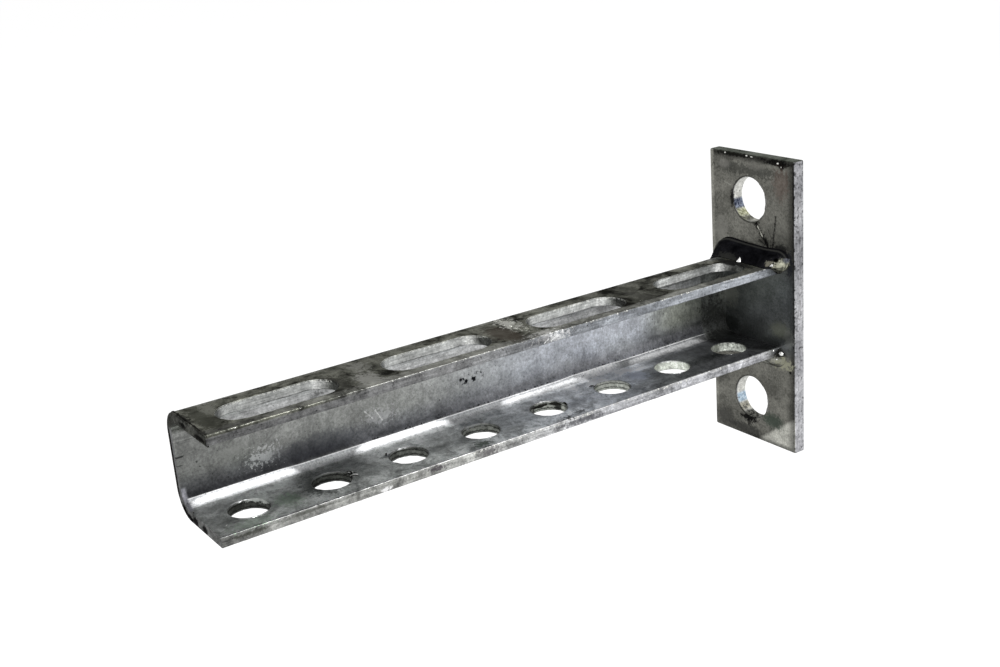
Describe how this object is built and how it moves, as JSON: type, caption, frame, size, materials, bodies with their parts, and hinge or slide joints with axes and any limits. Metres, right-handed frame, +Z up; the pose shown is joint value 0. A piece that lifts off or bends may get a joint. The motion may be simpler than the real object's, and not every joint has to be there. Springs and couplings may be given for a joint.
{
  "type": "wall bracket",
  "caption": "Welded galvanised wall bracket: a drilled flat bar with a channel arm, slotted above and round-holed below.",
  "frame": {"origin": "middle of the wall plate's back face", "axes": "+Y into the wall, so the arm runs along -Y; +Z up, with the slots on top; +X towards the channel's open side"},
  "size_m": [0.0384, 0.2045, 0.1],
  "materials": {
    "galvanised_plate": "satin",
    "galvanised_arm": "satin",
    "weld_metal": "gloss"
  },
  "bodies": {
    "root": {"wall_plate": "galvanised_plate", "arm_channel": "galvanised_arm", "weld_bead": "weld_metal"}
  },
  "joints": []
}
